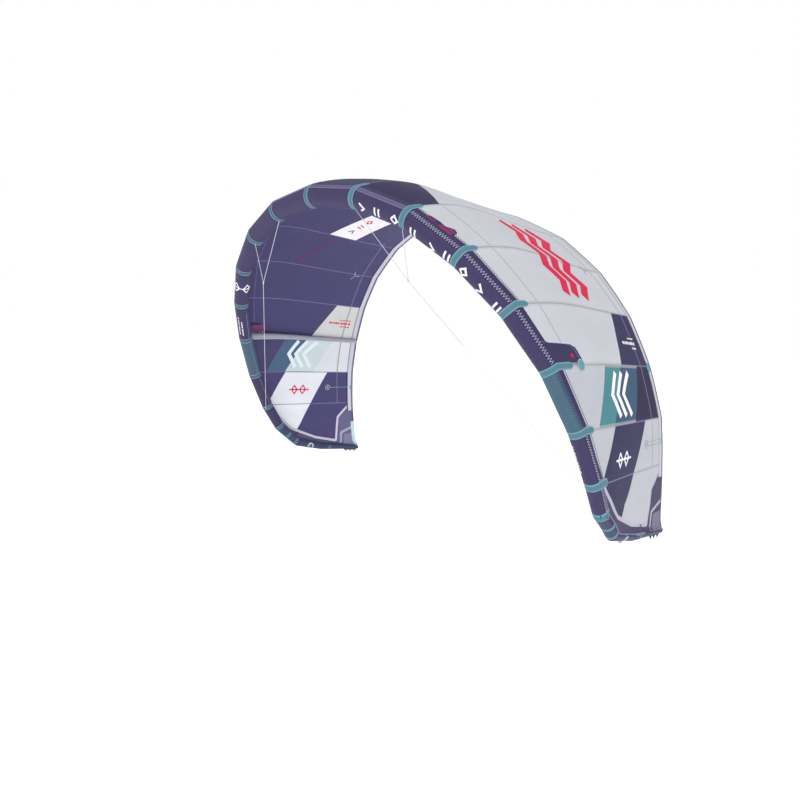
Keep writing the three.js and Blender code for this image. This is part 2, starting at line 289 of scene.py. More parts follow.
def between(points, x):
    """The value at x on a line through points."""
    for (x0, y0), (x1, y1) in zip(points, points[1:]):
        if x <= x1:
            return y0 + (y1 - y0) * (x - x0) / (x1 - x0)
    return points[-1][1]


def zigzag_angle(s):
    return math.radians(between(ZIGZAG_ANGLES, abs(s)))


def flap_angle(s):
    return zigzag_angle(s) + math.radians(FLAP_BEYOND)


def leaves(s):
    return blended(leave_angles, s)


def cloth_point(s, t, lift=0.0):
    """A point off the middle of the whole cloth, where t from -1 to 0 is the flap on the tube."""
    if t >= 0:
        return canopy_point(s, t, lift)
    base = CLOTH_OFF_TUBE + (FLAP_LIFT - CLOTH_OFF_TUBE) * -t
    return tube_point(s, leaves(s) - t * flap_angle(s), base + lift)


def outer_face(s, t, lift):
    return cloth_point(s, t, CLOTH / 2 + lift)


def inner_face(s, t, lift):
    return cloth_point(s, t, -CLOTH / 2 - lift)


def skin(s, v, lift):
    """A point off the outermost cloth, where v is metres behind the line where the canopy leaves the tube."""
    if v >= 0:
        return outer_face(s, v / (3 * NOSE_REACH * blended(chords, s)), lift)
    turned = -v / blended(radius, s)
    flap = flap_angle(s)
    if turned < flap:
        return outer_face(s, -turned / flap, lift)
    edge = (FLAP_LIFT + CLOTH / 2) * (1 - min(1.0, (turned - flap) / FLAP_EDGE))
    return tube_point(s, leaves(s) + turned, edge + lift)


def tube_skin(s, angle, lift):
    """A point off the outermost cloth on the tube, at an angle in radians."""
    return skin(s, (leaves(s) - angle) * blended(radius, s), lift)


def shown(name, data, material):
    """An object that shows its data in one material and moves with the kite."""
    data.materials.append(material)
    made = bpy.data.objects.new(name, data)
    bpy.context.scene.collection.objects.link(made)
    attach(made, "root")
    return made


def make_mesh(name, points, faces, material, sharp=35):
    data = bpy.data.meshes.new(name)
    data.from_pydata(points, [], faces)
    data.polygons.foreach_set("use_smooth", [True] * len(faces))
    data.set_sharp_from_angle(angle=math.radians(sharp))
    return shown(name, data, material)


def add_attribute(made, name, values):
    layer = made.data.attributes.new(name, "FLOAT_VECTOR", "POINT")
    layer.data.foreach_set("vector", [number for value in values for number in value])


class Cloth:
    """Thin closed shapes gathered into one mesh, with a vector per vertex for each named attribute."""

    def __init__(self, *names):
        self.points = []
        self.faces = []
        self.values = {name: [] for name in names or ["place"]}

    def add(self, outer, inner, **values):
        """A sheet from rows of points on its two faces. The rows' order times the points' looks outward."""
        start = len(self.points)
        columns = len(outer[0])
        size = len(outer) * columns
        for row in outer + inner:
            self.points.extend(row)
        for name, known in self.values.items():
            known.extend([value for row in values[name] for value in row] * 2)
        grid = [[start + i * columns + j for j in range(columns)] for i in range(len(outer))]
        for row, after in zip(grid, grid[1:]):
            for j in range(columns - 1):
                quad = (row[j], after[j], after[j + 1], row[j + 1])
                self.faces.append(quad)
                self.faces.append(tuple(n + size for n in reversed(quad)))
        rim = [row[0] for row in grid] + grid[-1][1:] + [row[-1] for row in grid[-2::-1]] + grid[0][-2:0:-1]
        for a, b in zip(rim, rim[1:] + rim[:1]):
            self.faces.append((b, a, a + size, b + size))

    def made(self, name, material, slot, sharp=35):
        made = make_mesh(name, self.points, self.faces, material, sharp)
        for key, values in self.values.items():
            add_attribute(made, key, values)
        return made


def lofted(name, sections, material, places):
    """A closed body through rings of points, closed by a fan at each end."""
    count = len(sections[0])
    points = [point for section in sections for point in section]
    places = list(places)
    last = len(points) - count
    pairs = [(n, (n + 1) % count) for n in range(count)]
    faces = []
    for start in range(0, last, count):
        faces += [(start + a, start + b, start + count + b, start + count + a) for a, b in pairs]
    for first in (0, last):
        faces += [(first + a, first + b, len(points)) for a, b in pairs]
        points.append(sum(points[first : first + count], Vector()) / count)
        places.append(places[first])
    made = make_mesh(name, points, faces, material)
    add_attribute(made, "place", places)
    work = bmesh.new()
    work.from_mesh(made.data)
    bmesh.ops.recalc_face_normals(work, faces=work.faces)
    work.to_mesh(made.data)
    work.free()
    return made


def steps_to(surface, a, b, vector):
    """The steps in a surface's two coordinates that come to a vector along it."""
    here = surface(a, b, 0.0)
    pa = (surface(a + PROBE, b, 0.0) - here) / PROBE
    pb = (surface(a, b + PROBE, 0.0) - here) / PROBE
    aa = pa.dot(pa)
    ab = pa.dot(pb)
    bb = pb.dot(pb)
    va = pa.dot(vector)
    vb = pb.dot(vector)
    det = aa * bb - ab * ab
    return (va * bb - vb * ab) / det, (vb * aa - va * ab) / det


def resampled(surface, route, step):
    """A route with points no further apart than a step in metres, its own corners kept."""
    fine = [route[0]]
    for (a0, b0), (a1, b1) in zip(route, route[1:]):
        distance = (surface(a1, b1, 0.0) - surface(a0, b0, 0.0)).length
        count = max(1, math.ceil(distance / step))
        for n in range(1, count + 1):
            fine.append((a0 + (a1 - a0) * n / count, b0 + (b1 - b0) * n / count))
    return fine


# The cosine down to which a strip's corners are mitred, and the least width of its tapered ends, squared.
MITRE_LIMIT = 0.45
TAPER_LEAST = 0.02


def ribbon(cloth, surface, route, width, lift=0.0003, thickness=0.0005, columns=1, step=0.008, taper=0.0):
    """A flat strip along a route on a surface, with its ends drawn in over a distance if a taper is given."""
    route = resampled(surface, route, step)
    centres = [surface(a, b, lift) for a, b in route]
    lengths = [0.0]
    for a, b in zip(centres, centres[1:]):
        lengths.append(lengths[-1] + (b - a).length)
    shares = [2 * c / columns - 1 for c in range(columns + 1)]
    outer = []
    inner = []
    places = []
    for n, (a, b) in enumerate(route):
        before = (centres[n] - centres[max(n - 1, 0)]).normalized()
        after = (centres[min(n + 1, len(route) - 1)] - centres[n]).normalized()
        tangent = (before + after).normalized()
        normal = (surface(a, b, lift + PROBE) - centres[n]).normalized()
        side = normal.cross(tangent).normalized()
        half = width / 2 / max(MITRE_LIMIT, tangent.dot(after if n < len(route) - 1 else before))
        if taper:
            reach = min(1.0, min(lengths[n], lengths[-1] - lengths[n]) / taper)
            half *= math.sqrt(max(TAPER_LEAST, 1 - (1 - reach) ** 2))
        da, db = steps_to(surface, a, b, side * half)
        outer.append([surface(a + da * x, b + db * x, lift + thickness) for x in shares])
        inner.append([surface(a + da * x, b + db * x, lift) for x in shares])
        places.append([(lengths[n], x, width) for x in shares])
    cloth.add(outer, inner, place=places)


def placed(surface, centre, turn, route):
    """A route in metres round a centre, as coordinates of a surface. Its y runs with the second of them."""
    a, b = centre
    here = surface(a, b, 0.0)
    y_axis = (surface(a, b + PROBE, 0.0) - here).normalized()
    x_axis = square_to(y_axis, surface(a + PROBE, b, 0.0) - here)
    cos, sin = math.cos(math.radians(turn)), math.sin(math.radians(turn))
    made = []
    for x, y in route:
        da, db = steps_to(surface, a, b, x_axis * (x * cos - y * sin) + y_axis * (x * sin + y * cos))
        made.append((a + da, b + db))
    return made


def make_camera():
    data = bpy.data.cameras.new("camera")
    data.lens = CAMERA_LENS
    data.sensor_width = CAMERA_SENSOR
    data.clip_end = CAMERA_FAR
    camera = bpy.data.objects.new("camera", data)
    bpy.context.scene.collection.objects.link(camera)
    back = CAMERA_RIGHT.cross(CAMERA_UP)
    turned = Matrix((CAMERA_RIGHT, CAMERA_UP, back)).transposed()
    camera.matrix_world = Matrix.Translation(CAMERA_PLACE) @ turned.to_4x4()
    bpy.context.scene.camera = camera


class Field:
    """A value that varies over a surface, with arithmetic that makes shader nodes. A mask is 0 or 1."""

    def __init__(self, tree, socket):
        self.tree = tree
        self.socket = socket

    def maths(self, operation, *others):
        return field(self.tree, "Math", dict(enumerate((self, *others))), operation=operation)

    def __add__(self, other):
        return self.maths("ADD", other)

    def __sub__(self, other):
        return self.maths("SUBTRACT", other)

    def __mul__(self, other):
        return self.maths("MULTIPLY", other)

    def __truediv__(self, other):
        return self.maths("DIVIDE", other)

    def __gt__(self, other):
        return self.maths("GREATER_THAN", other)

    def __lt__(self, other):
        return self.maths("LESS_THAN", other)

    def __and__(self, other):
        return self.maths("MULTIPLY", other)

    def __or__(self, other):
        return self.maths("MAXIMUM", other)

    def __abs__(self):
        return self.maths("ABSOLUTE")

    def __invert__(self):
        return self * -1 + 1

    def between(self, low, high):
        return (self > low) & (self < high)

    def near(self, other, reach):
        return abs(self - other) < reach

    def soft(self, low, high):
        """0 below low and 1 above high, with a smooth rise between."""
        inputs = dict(enumerate((self, low, high, 0.0, 1.0)))
        return field(self.tree, "MapRange", inputs, interpolation_type="SMOOTHSTEP")

    def profile(self, points):
        """The value on a line through points, flat beyond its ends."""
        first, last = points[0][0], points[-1][0]
        share = ((self - first) / (last - first)).maths("MINIMUM", 1.0).maths("MAXIMUM", 0.0)
        made = field(self.tree, "FloatCurve", {1: share})
        mapping = made.socket.node.mapping
        curve = mapping.curves[0]
        while len(curve.points) < len(points):
            curve.points.new(0.5, 0.5)
        for entry, (x, y) in zip(curve.points, points):
            entry.location = ((x - first) / (last - first), y)
            entry.handle_type = "VECTOR"
        mapping.update()
        return made

    def line(self, x0, y0, x1, y1):
        """The value on one straight line that goes on past its two points."""
        return (self - x0) * ((y1 - y0) / (x1 - x0)) + y0

    def waves(self, period):
        """0 to 1 and back along the field, once a period."""
        return (self * (2 * math.pi / period)).maths("SINE") * 0.5 + 0.5


def field(tree, kind, inputs, output=0, **settings):
    """An output of a new shader node, with its settings made and its inputs set or linked."""
    node = tree.nodes.new("ShaderNode" + kind)
    for name, value in settings.items():
        setattr(node, name, value)
    for name, value in inputs.items():
        connect(value, node.inputs[name])
    return Field(tree, node.outputs[output])


def connect(value, entry):
    if isinstance(value, Field):
        value.tree.links.new(value.socket, entry)
    else:
        entry.default_value = value


def colour(code):
    """A linear colour from the usual six-figure code."""
    parts = [int(code[n : n + 2], 16) / 255 for n in (1, 3, 5)]
    linear = [x / 12.92 if x < 0.04045 else ((x + 0.055) / 1.055) ** 2.4 for x in parts]
    return (*linear, 1.0)


class Paint:
    """A material under construction: a colour covered layer by layer, a roughness and a bump."""

    def __init__(self, name, base, specular):
        self.material = bpy.data.materials.new(name)
        self.material.use_nodes = True
        self.tree = self.material.node_tree
        self.shader = self.tree.nodes["Principled BSDF"].inputs
        self.shader["Specular IOR Level"].default_value = specular
        self.colour = field(self.tree, "RGB", {})
        self.colour.socket.default_value = colour(base)
        self.place = field(self.tree, "TexCoord", {}, "Object")

    def parts(self, vector):
        split = field(self.tree, "SeparateXYZ", {0: vector})
        return [Field(self.tree, entry) for entry in split.socket.node.outputs]

    def attribute(self, name):
        return self.parts(field(self.tree, "Attribute", {}, "Vector", attribute_name=name))

    def position(self):
        """Metres across, aft and up, in the kite's own frame."""
        return self.parts(self.place)

    def noise(self, scale, detail=2.0):
        return field(self.tree, "TexNoise", {"Vector": self.place, "Scale": scale, "Detail": detail}, "Fac")

    def cover(self, *layers):
        """Covers the colour with others, each where its mask is 1."""
        for mask, code in layers:
            inputs = {"Factor": mask, 6: self.colour, 7: colour(code)}
            self.colour = field(self.tree, "Mix", inputs, 2, data_type="RGBA")

    def shade(self, amount):
        """Makes the colour lighter or darker by an amount about 1."""
        self.colour = field(self.tree, "VectorMath", {0: self.colour, "Scale": amount}, operation="SCALE")

    def done(self, shade, rough, height=None, distance=0.0):
        """The material after its last shade, with a roughness and bumps of a height times a distance."""
        self.shade(shade)
        connect(self.colour, self.shader["Base Color"])
        connect(rough, self.shader["Roughness"])
        if height:
            bump = field(self.tree, "Bump", {"Height": height, "Distance": distance, "Strength": 1.0})
            connect(bump, self.shader["Normal"])
        return self.material


# The canopy's colours on its outer and inner faces, and the tube's. The canopy's cloth is the same on both
# faces: its inner face is drawn lighter, painted light that shines through the cloth.
DARK_OUTER = "#342f53"
DARK_INNER = "#4f4a73"
LIGHT_OUTER = "#c5c7cd"
LIGHT_INNER = "#e0e2e6"
TUBE_DARK = "#433c60"
TUBE_TEAL = "#4b6879"

# What is dark in front on the canopy, as shares of the chord at stations: a strip along the tube, a wavy
# patch on the right wing, and the raised patch in front of the strut.
FRONT_STRIP = [(0, 0.021), (6.5, 0.025), (6.9, 0.037), (8.15, 0.05), (9.3, 0.096), (10.1, 0.27),
               (11.25, 0.39), (12, 0.45)]
WAVY_PATCH = [(2.18, 0), (2.25, 0.034), (2.4, 0.041), (2.5, 0.036), (2.6, 0.061), (2.68, 0.05), (2.75, 0)]
RAISED_PATCH = [(4.55, 0), (4.625, 0.037), (4.675, 0.192), (4.725, 0.229), (4.975, 0.242), (5, 0.138)]

# The two seams that run across the wing, the same way.
FRONT_SEAM = [(1.9, 0.17), (3, 0.15), (4, 0.144), (4.6, 0.13), (4.8, 0.10)]
REAR_SEAM = [(2, 0.925), (4, 0.929), (5, 0.912), (7, 0.887)]
SEAM_HALF_WIDTH = 0.0045

# The grid in the ripstop cloth: its period in metres, and how much of it is line.
GRID = 0.012
GRID_LINE = 0.93


def canopy_material():
    """The canopy's sewn colours by place, with painted light and shade laid over some of them: s across the
    wings, t along the chord.
    """
    paint = Paint("canopy_cloth", DARK_INNER, 0.08)
    s, t, chord = paint.attribute("place")
    seam, _, from_tail = paint.attribute("seams")
    border, strip, ladder = paint.attribute("tip")
    across, along, inside = paint.attribute("weave")
    x, y, z = paint.position()
    wing = abs(s)
    right = s > 0.0
    left = ~right
    outside = ~inside

    def aft_of(first, second, level=z, axis=2):
        """A mask aft of the straight line through two places of the cloth, seen along an axis of the kite."""
        a = canopy_point(*first)
        b = canopy_point(*second)
        return y > level.line(a[axis], a.y, b[axis], b.y)

    # The wings' own colours, the pale panel by the centre of the left wing and the dark wedge in front.
    pale = left & wing.between(1.0, 2.0)
    pale = pale & aft_of((1, 0.755), (2, 0.621), abs(x), 0) & ~aft_of((1, 0.878), (2, 0.783), abs(x), 0)
    wedge = t < s.line(1.1, 0.37, 1.95, 0.171)
    light = right & (wing > 1.0) & ~(wedge & (wing < 2.0))
    teal_center = s.between(-1.0, 1.1) & ~wedge

    # The panel by the trailing edge above the strut, the four colours below it, and the stripe to the tip.
    rear_panel = aft_of((4, 0.855), (5, 0.705)) & wing.between(4.0, 5.0)
    below = wing.between(5.0, 6.0)
    line_a = aft_of((5, 0.49), (6, 0.15))
    line_b = aft_of((5, 0.69), (6, 0.39))
    line_c = aft_of((5, 0.87), (6, 0.71))
    stripe = aft_of((6, 0.40), (6.8, 0.09)) & ~aft_of((6, 0.83), (8.8, 0.20)) & (wing > 6.0)
    swapped = rear_panel | (below & line_c) | (stripe & (t > 0.02))
    light = (light & ~swapped) | (swapped & ~light)
    teal_front = below & line_a & ~line_b
    teal_rear = below & line_b & ~line_c

    edge = wing.profile(FRONT_STRIP)
    wavy = wing.profile(WAVY_PATCH)
    raised = wing.profile(RAISED_PATCH)
    wavy_middle = (t < wavy * 0.82) & (t > 0.010) & right
    raised_patch = (t < raised) & wing.between(4.5, 5.0)
    dark_front = (t < edge) | ((t < wavy) & right) | raised_patch
    paint.cover(
        # The inner face is drawn lighter than the outer: painted light that shines through the cloth.
        (outside, DARK_OUTER),
        (light & outside, LIGHT_OUTER),
        (light & inside, LIGHT_INNER),
        # Painted shade: the light cloth on the outer face beyond the side strut is drawn darker.
        (light & outside & (wing > 5.0), "#bdbec6"),
        (rear_panel & inside & left, "#d8d8d6"),
        (stripe & inside & left, "#eceef4"),
        # Painted shade: the dark cloth on the outer face is drawn darker on the top of the arch near the
        # centre.
        (outside & ~light & (wing < 2.0), "#302b50"),
        # Painted shade: the dark cloth on the right wing's outer face between the side strut and the next rib
        # is drawn darker.
        (outside & ~light & right & below, "#2c2748"),
        (pale, "#fffcff"),
        (teal_center, "#7d9c9c"),
        (teal_front & right, "#4c8890"),
        (teal_front & left, "#526a88"),
        (teal_rear & right, "#3c5873"),
        (teal_rear & left, "#cfdddf"),
        (dark_front & right & (wing > 1.0), "#3d385b"),
        (dark_front & left, "#353155"),
        ((t < -0.3) & below, TUBE_TEAL),
        (t.between(-0.3, 0.0) & below, "#423d5e"),
        (wavy_middle & wing.between(2.46, 2.68), "#8d3462"),
        (wavy_middle & wing.between(2.24, 2.38), "#7b2f5c"),
        (raised_patch & (t > raised - 0.010), "#35304f"),
        (raised_patch & t.near(raised - 0.022, 0.0018), "#8a85a5"),
    )

    # Cloth showing through and round the tip: the reinforcement, its light border and the strips in it.
    at_tip = wing > 6.9
    corner_cloth = (border > 0.0) & at_tip & (t > 0.0)
    along_border = at_tip & (t > edge * 0.6)
    paint.cover(
        (corner_cloth & right, "#423d5c"),
        (corner_cloth & left, "#6a6789"),
        (corner_cloth & (strip < 0.014), "#aaa9bd"),
        (corner_cloth & (ladder > 0.0) & (along.waves(0.016) > 0.55), "#9a98b0"),
        (border.near(0.0, 0.013) & along_border, "#cfccdd"),
        (border.near(0.0, 0.013) & along_border & right, "#b8b3c6"),
        (border.near(0.017, 0.003) & along_border, "#45405f"),
    )

    # Seams: dark or light thread and tape along the ribs and along the two lines that run across the wing.
    half_seam = chord.maths("POWER", -1.0) * SEAM_HALF_WIDTH
    with_ribs = wing < 7.2
    rib_line = (seam < 0.0055) & with_ribs & (t > 0.0)
    front_line = t.near(wing.profile(FRONT_SEAM), half_seam) & wing.between(1.9, 4.66)
    rear_line = t.near(wing.profile(REAR_SEAM), half_seam) & wing.between(1.9, 7.05)
    lines = rib_line | front_line | rear_line
    taped = (seam < 0.018) & ~rib_line & with_ribs & light & outside & (t > 0.03)
    paint.cover((lines & light, "#a2a6a8"), (lines & ~light, "#716b93"), (taped * 0.5, "#b3b8b5"))

    # The trailing edge: a light tape between two darker lines.
    main_edge = wing < 7.6
    inner_line = from_tail.near(0.041, 0.0045) & main_edge
    tape = (from_tail < 0.0365) & main_edge
    outer_line = from_tail < 0.012
    paint.cover(
        (inner_line & light, "#9fa1a8"),
        (inner_line & ~light, "#3b3658"),
        (tape, "#cfcddd"),
        (tape & right & outside, "#c2c3cc"),
        (outer_line & main_edge, "#6c6a80"),
        (outer_line & main_edge & right, "#514e66"),
        (outer_line & ~main_edge, "#55516f"),
        ((from_tail < 0.024) & left & (wing > 8.6), "#b9dcdc"),
    )

    # The ripstop grid, the cloth's unevenness and its stitched edges, and painted shade on the inner face.
    grid = across.waves(GRID).soft(GRID_LINE, 1.0) | along.waves(GRID).soft(GRID_LINE, 1.0)
    blotch = paint.noise(5.0, 3.0)
    fine = paint.noise(60.0)
    puckers = paint.noise(26.0) * ~seam.soft(0.0, 0.13)
    # Painted shade: the inner face is drawn darker towards the top of the arch and lighter towards the
    # bottom.
    paint.shade(inside * (z.soft(-0.9, 1.1) * -0.17 + 0.07) + 1.0)
    shade = blotch * 0.10 + fine * 0.05 + grid * -0.035 + puckers * 0.05 + 0.92
    height = grid * 0.25 + lines * 0.8 + blotch * 1.6 + puckers * 4.0
    return paint.done(shade, fine * 0.12 + 0.42, height, 0.0006)


def tube_material():
    paint = Paint("tube_cloth", TUBE_DARK, 0.14)
    s, angle, seam = paint.attribute("place")
    wing = abs(s)
    teal = wing.between(5.0, 6.0)
    paint.cover(
        (teal, TUBE_TEAL),
        # Painted shade: the teal stretch is drawn darker on the left wing.
        (teal & (s < 0.0), "#4a6278"),
        ((wing > 8.0) * 0.3, "#3f5f78"),
        (angle.near(281.0, 2.2) & wing.between(4.2, 6.9), "#7f86a0"),
    )
    weft = paint.noise(260.0, 1.0)
    blotch = paint.noise(9.0, 3.0)
    # Painted shade: the cloth is drawn darker near each seam, where the tube is drawn in.
    shade = (blotch * 0.16 + weft * 0.06 + 0.89) * (seam.soft(0.0, 0.05) * 0.12 + 0.88)
    return paint.done(shade, blotch * 0.15 + 0.40, weft * 0.35 + blotch, 0.0008)


def woven_material(name, code, ribs_apart=0.004):
    """Webbing, tape or thread, with ribs across its length."""
    paint = Paint(name, code, 0.15)
    weave = paint.attribute("place")[0].waves(ribs_apart)
    speckle = paint.noise(120.0)
    shade = weave * 0.08 + speckle * 0.14 + 0.89
    return paint.done(shade, speckle * 0.15 + 0.52, weave * 0.5 + speckle * 0.5, 0.0004)


BAND_EDGE = 0.60


def band_material():
    """Teal webbing with lighter sewn edges, drawn darker and duller on the left wing as painted shade."""
    paint = Paint("band_webbing", "#52848f", 0.12)
    along, across, _ = paint.attribute("place")
    left = paint.position()[0] < 0.0
    off_middle = abs(across)
    edges = off_middle > BAND_EDGE
    # Painted shade: the left wing's webbing and its edges are drawn darker and duller.
    paint.cover(
        (left, "#4a667a"),
        (edges, "#789aab"),
        (edges & left, "#7b94a5"),
        (off_middle.near(BAND_EDGE, 0.035) & (along.waves(0.006) > 0.4), "#3f7380"),
    )
    weave = along.waves(0.0035)
    speckle = paint.noise(120.0)
    shade = weave * 0.06 + speckle * 0.10 + paint.noise(16.0) * 0.14 + 0.85
    return paint.done(shade, speckle * 0.15 + 0.45, weave * 0.5 + speckle * 0.5 + edges * 0.8, 0.0005)


def print_material(name, code):
    """Ink on cloth, slightly uneven, with the weave under it."""
    paint = Paint(name, code, 0.08)
    speckle = paint.noise(90.0)
    shade = speckle * 0.07 + paint.noise(11.0) * 0.10 + 0.92
    return paint.done(shade, speckle * 0.2 + 0.4, speckle, 0.0003)


def strut_material():
    """Light cloth with a darker stretch along the top, a seam on each side of it and one below."""
    paint = Paint("strut_cloth", "#aeafbd", 0.15)
    off_top = abs(paint.attribute("place")[1])
    seam = off_top.near(66.0, 4.0)
    paint.cover((off_top < 66.0, "#5b577a"), (seam, "#8d8ba6"), (off_top > 172.0, "#8a88a2"))
    speckle = paint.noise(150.0)
    blotch = paint.noise(14.0)
    shade = speckle * 0.06 + blotch * 0.12 + 0.9
    return paint.done(shade, speckle * 0.15 + 0.42, speckle * 0.4 + blotch, 0.0006)


def cord_material(name, code):
    """Braid: two sets of slanting strands round the cord."""
    paint = Paint(name, code, 0.2)
    x, y, z = paint.position()
    strands = (x + y * 0.6 + z).waves(0.003) * (x * -1 + y * 0.4 + z).waves(0.003)
    speckle = paint.noise(300.0, 1.0)
    return paint.done(strands * 0.22 + speckle * 0.1 + 0.85, speckle * 0.2 + 0.5, strands, 0.0003)


def floor_material():
    paint = Paint("floor_plain", "#fbfbfb", 0.1)
    connect((1, 1, 1, 1), paint.shader["Emission Color"])
    connect(0.35, paint.shader["Emission Strength"])
    return paint.done(paint.noise(0.6, 1.0) * 0.01 + 0.99, 0.9)


def bridle_end(i, turn):
    """Where a leg ends on a band: turned in degrees towards the front from the side that faces the knot."""
    along = frames[i][0]
    arm = Matrix.Rotation(math.radians(-turn), 3, along) @ square_to(along, BRIDLE_KNOT - le[i])
    return le[i] + arm * (radius[i] + BAND_FACE + BRIDLE_CORD / 2 + CAD_GAP)


def route_length(route):
    return sum((b - a).length for a, b in zip(route, route[1:]))


def cord_curve(name, route, diameter, material):
    data = bpy.data.curves.new(name, "CURVE")
    data.dimensions = "3D"
    data.bevel_depth = diameter / 2
    data.bevel_resolution = 3
    data.use_fill_caps = True
    spline = data.splines.new("POLY")
    spline.points.add(len(route) - 1)
    for entry, point in zip(spline.points, route):
        entry.co = (*point, 1.0)
    return shown(name, data, material)


# How far from the knot the long line starts to bend, and how many diameters off its middle the short one
# ends.
KNOT_BEND = 0.02
LEG_OFF_LINE = 1.1


def make_bridles(material):
    """A long line from the last rib's band past the knot to the first rib's, and a short one to the knot."""
    for side, wing in SIDES:
        last, first, second = [bridle_end(i, turn) for i, turn in BRIDLE_ENDS]
        before = BRIDLE_KNOT + (last - BRIDLE_KNOT).normalized() * KNOT_BEND
        after = BRIDLE_KNOT + (first - BRIDLE_KNOT).normalized() * KNOT_BEND
        bend = [before.lerp(BRIDLE_KNOT, n / 4).lerp(BRIDLE_KNOT.lerp(after, n / 4), n / 4) for n in range(5)]
        middle = bend[2]
        short_end = middle + (second - middle).normalized() * (BRIDLE_CORD * LEG_OFF_LINE)
        long_route = [last, last.lerp(before, 0.5), *bend, after.lerp(first, 0.5), first]
        short_route = [second, second.lerp(short_end, 0.5), short_end]
        long_route = [on_side(p, side) for p in long_route]
        short_route = [on_side(p, side) for p in short_route]
        knot = make_knot(f"bridle_knot_{wing}", on_side(middle, side), material)
        line = cord_curve(f"bridle_line_{wing}", long_route, BRIDLE_CORD, material)
        leg = cord_curve(f"bridle_leg_{wing}", short_route, BRIDLE_CORD, material)
        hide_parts(f"bridle_{wing}")
        route_length(long_route)
        route_length(short_route)


# The knot: its width, its height for that width, the depth of its grooves, and how finely it is divided.
KNOT_SIZE = 0.0125
KNOT_TALL = 1.5
KNOT_GROOVE = 0.12
KNOT_RINGS = 13
KNOT_SIDES = 14


def make_knot(name, middle, material):
    """A small bound knot with turns of cord showing in its outline."""
    turns = [2 * math.pi * n / KNOT_SIDES for n in range(KNOT_SIDES)]
    sections = []
    for k in range(KNOT_RINGS):
        polar = math.pi * (0.06 + 0.88 * k / (KNOT_RINGS - 1))
        r = KNOT_SIZE / 2 * math.sin(polar) * (1 + KNOT_GROOVE * (-1) ** k)
        height = -math.cos(polar) * KNOT_SIZE / 2 * KNOT_TALL
        sections.append([middle + Vector((math.cos(a) * r, math.sin(a) * r, height)) for a in turns])
    return lofted(name, sections, material, [(0.0, 0.0, 0.0)] * (KNOT_RINGS * KNOT_SIDES))


# How finely the canopy is divided: steps across a panel and a tip panel, along the chord and over the
# flap, and how much denser they are in front.
PANEL_STEPS = 18
TIP_STEPS = 6
CHORD_STEPS = 80
FLAP_STEPS = 6
CHORD_DENSER = 1.15

# The tip's sewn border seen from the side, as metres aft and up, and in the corner behind it a strip and
# the place of a ladder of short strips.
TIP_BORDER = [(0.30, -0.60), (0.386, -0.693), (0.65, -0.935), (0.75, -0.975), (0.93, -1.045), (1.197, -1.10),
              (1.209, -0.842), (1.368, -0.687), (1.60, -0.46)]
TIP_STRIP = [(1.45, -0.945), (1.262, -1.015), (1.262, -1.16)]
TIP_LADDER = (1.30, -1.035)


def distance_to(line, y, z):
    """The distance to a line through points."""
    best = math.inf
    for (y0, z0), (y1, z1) in zip(line, line[1:]):
        dy, dz = y1 - y0, z1 - z0
        share = clamped(((y - y0) * dy + (z - z0) * dz) / (dy * dy + dz * dz))
        best = min(best, math.hypot(y - y0 - dy * share, z - z0 - dz * share))
    return best


def within(line, y, z):
    """Whether a place is inside the outline that a line of points closes to."""
    inside = False
    for (y0, z0), (y1, z1) in zip(line, line[1:] + line[:1]):
        if (z0 > z) != (z1 > z) and y < y0 + (z - z0) * (y1 - y0) / (z1 - z0):
            inside = not inside
    return inside


def tip_place(point):
    """Metres outside the tip's border, metres from the strip, and metres into the corner with the ladder."""
    distance = distance_to(TIP_BORDER, point.y, point.z)
    distance = -distance if within(TIP_BORDER, point.y, point.z) else distance
    ladder = min(point.y - TIP_LADDER[0], TIP_LADDER[1] - point.z)
    return distance, distance_to(TIP_STRIP, point.y, point.z), ladder


def both_wings(places):
    """Places from the left tip to the right tip, from those of one wing without its tip."""
    places = places + [float(TIP)]
    return [-s for s in reversed(places)] + places[1:]


def solids_of(name, count):
    """The names of the solids of both wings that one piece stands for."""
    return [f"{name}_{part}_{wing}" for part in [*range(1, count + 1), "tip"] for _, wing in SIDES]


def make_canopy(material):
    spans = []
    for i in range(TIP):
        count = TIP_STEPS if i >= TIP_START else PANEL_STEPS
        spans += [i + n / count for n in range(count)]
    spans = both_wings(spans)
    chord_places = [-1 + n / FLAP_STEPS for n in range(FLAP_STEPS)]
    chord_places += [(n / CHORD_STEPS) ** CHORD_DENSER for n in range(CHORD_STEPS + 1)]
    cloth = Cloth("place", "seams", "tip")
    outer = [[outer_face(s, t, 0.0) for t in chord_places] for s in spans]
    inner = [[inner_face(s, t, 0.0) for t in chord_places] for s in spans]
    place = [[(s, t, blended(chords, s)) for t in chord_places] for s in spans]
    seams = []
    for s in spans:
        i, share = panel_of(s)
        share = min(share, 1 - share)
        chord = blended(chords, s)
        widths = [(bezier(ribs[i + 1], max(t, 0)) - bezier(ribs[i], max(t, 0))).length for t in chord_places]
        seams.append([(share * wide, t * chord, (1 - t) * chord) for t, wide in zip(chord_places, widths)])
    tip = [[tip_place(point) for point in row] for row in outer]
    cloth.add(outer, inner, place=place, seams=seams, tip=tip)
    made = cloth.made("canopy", material, "canopy_light", sharp=60)
    add_weave(made, spans, chord_places)
    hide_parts(*solids_of("canopy", LAST_RIB))
    return made


# The share of the chord at which the weave is measured across the wing.
WEAVE_CHORD = 0.3


def add_weave(made, spans, chord_places):
    """Metres across and along the cloth for its weave, and whether a vertex is on the inner face."""
    across = [0.0]
    for a, b in zip(spans, spans[1:]):
        across.append(across[-1] + (canopy_point(a, WEAVE_CHORD) - canopy_point(b, WEAVE_CHORD)).length)
    values = []
    for inside in (0.0, 1.0):
        for run, s in zip(across, spans):
            chord = blended(chords, s)
            values += [(run, t * chord, inside) for t in chord_places]
    add_attribute(made, "weave", values)


